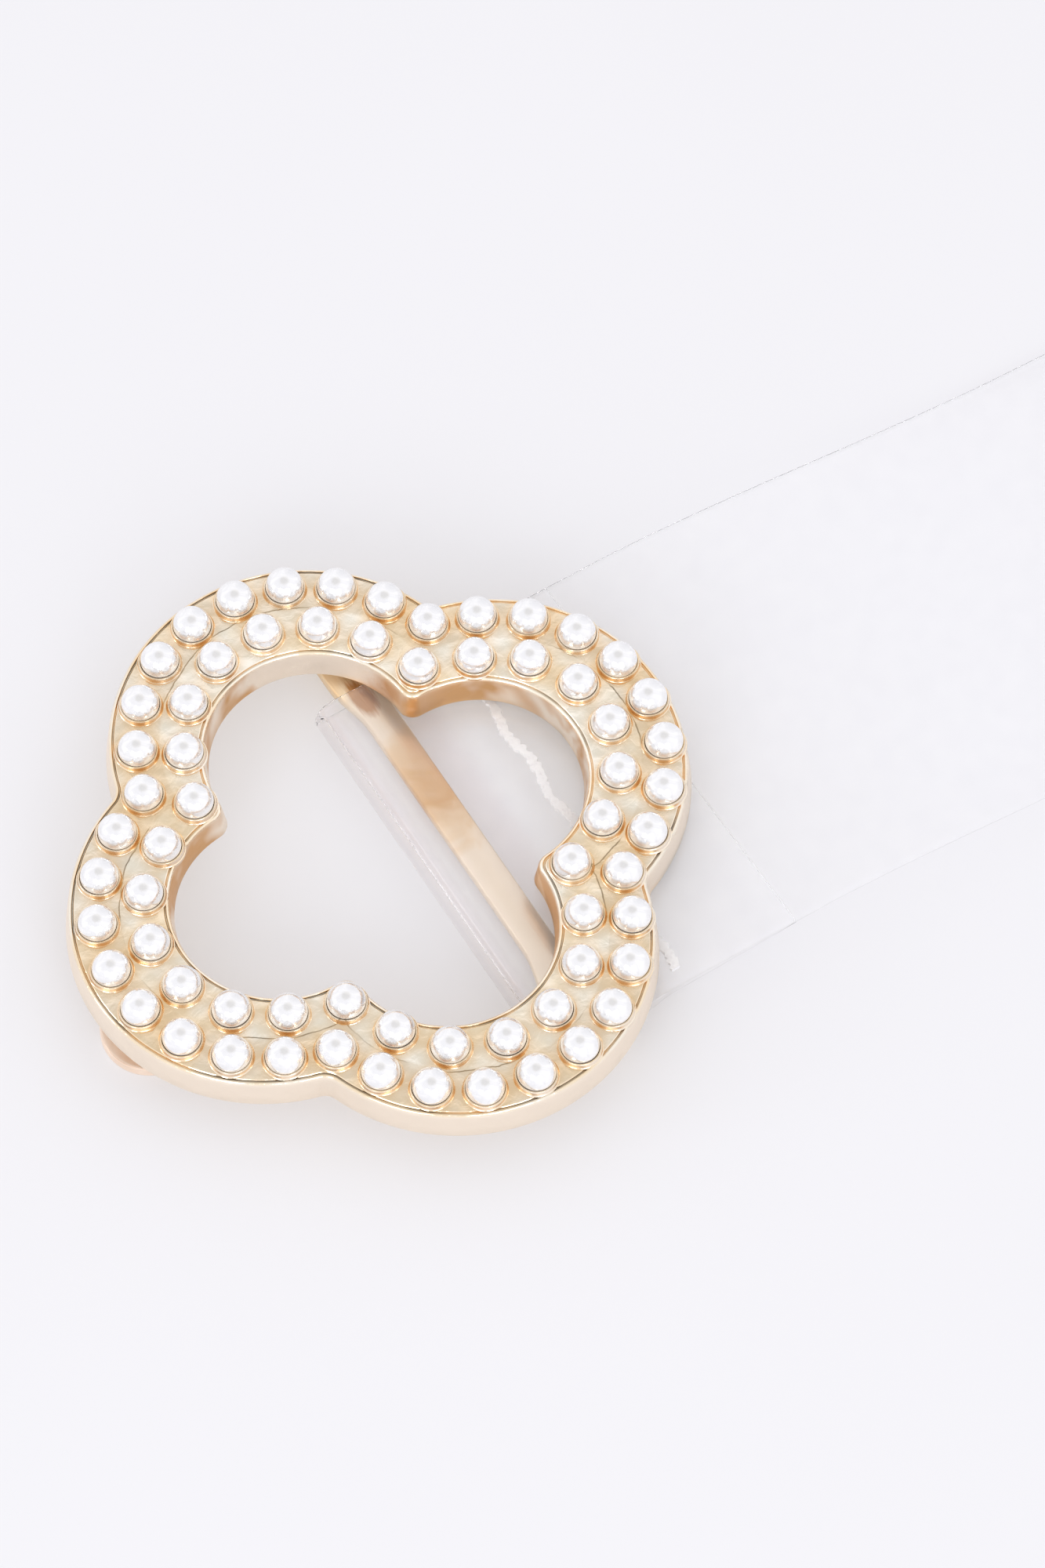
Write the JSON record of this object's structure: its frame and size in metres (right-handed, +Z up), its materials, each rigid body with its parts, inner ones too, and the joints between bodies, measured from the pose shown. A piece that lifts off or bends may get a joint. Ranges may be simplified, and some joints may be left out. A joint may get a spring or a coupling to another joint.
{
  "type": "pearl strap buckle",
  "caption": "Four-lobed gold ring set with two rows of pearls, with a centre bar and hook stud behind, on a clear strap folded round the bar and welded.",
  "frame": {"origin": "middle of the hook stud's flat face, on the plane the buckle lies on", "axes": "+X from the stud through the middle of the ring and out along the strap, +Y across the strap, near the direction of the centre bar, +Z up through the pearls"},
  "size_m": [0.11, 0.0573, 0.0093],
  "materials": {
    "plated_ring": "polished champagne-gold plating on a casting, satin on the side walls",
    "brushed_bar": "brushed gold strip",
    "plated_stud": "turned, satin gold with fine rings",
    "pearl": "pearlescent white lacquer",
    "clear_vinyl": "clear soft vinyl, glossy, faintly violet at the edges"
  },
  "bodies": {
    "buckle": {"buckle_ring": "plated_ring", "centre_bar": "brushed_bar", "hook_stud": "plated_stud", "strap_fold": "clear_vinyl", "pearl_outer_01": "pearl", "pearl_outer_02": "pearl", "pearl_outer_03": "pearl", "pearl_outer_04": "pearl", "pearl_outer_05": "pearl", "pearl_outer_06": "pearl", "pearl_outer_07": "pearl", "pearl_outer_08": "pearl", "pearl_outer_09": "pearl", "pearl_outer_10": "pearl", "pearl_outer_11": "pearl", "pearl_outer_12": "pearl", "pearl_outer_13": "pearl", "pearl_outer_14": "pearl", "pearl_outer_15": "pearl", "pearl_outer_16": "pearl", "pearl_outer_17": "pearl", "pearl_outer_18": "pearl", "pearl_outer_19": "pearl", "pearl_outer_20": "pearl", "pearl_outer_21": "pearl", "pearl_outer_22": "pearl", "pearl_outer_23": "pearl", "pearl_outer_24": "pearl", "pearl_outer_25": "pearl", "pearl_outer_26": "pearl", "pearl_outer_27": "pearl", "pearl_outer_28": "pearl", "pearl_outer_29": "pearl", "pearl_outer_30": "pearl", "pearl_outer_31": "pearl", "pearl_outer_32": "pearl", "pearl_outer_33": "pearl", "pearl_outer_34": "pearl", "pearl_outer_35": "pearl", "pearl_outer_36": "pearl", "pearl_inner_row_1": "pearl", "pearl_inner_row_2": "pearl", "pearl_inner_row_3": "pearl", "pearl_inner_row_4": "pearl"},
    "strap": {"strap_band": "clear_vinyl"}
  },
  "joints": [
    {"name": "strap_bend", "type": "hinge", "parent": "buckle", "child": "strap", "pos_m": [0.05433, -0.00483, 0.0033], "axis": [0.0872, 0.9962, 0], "range_deg": [-45, 100]}
  ]
}
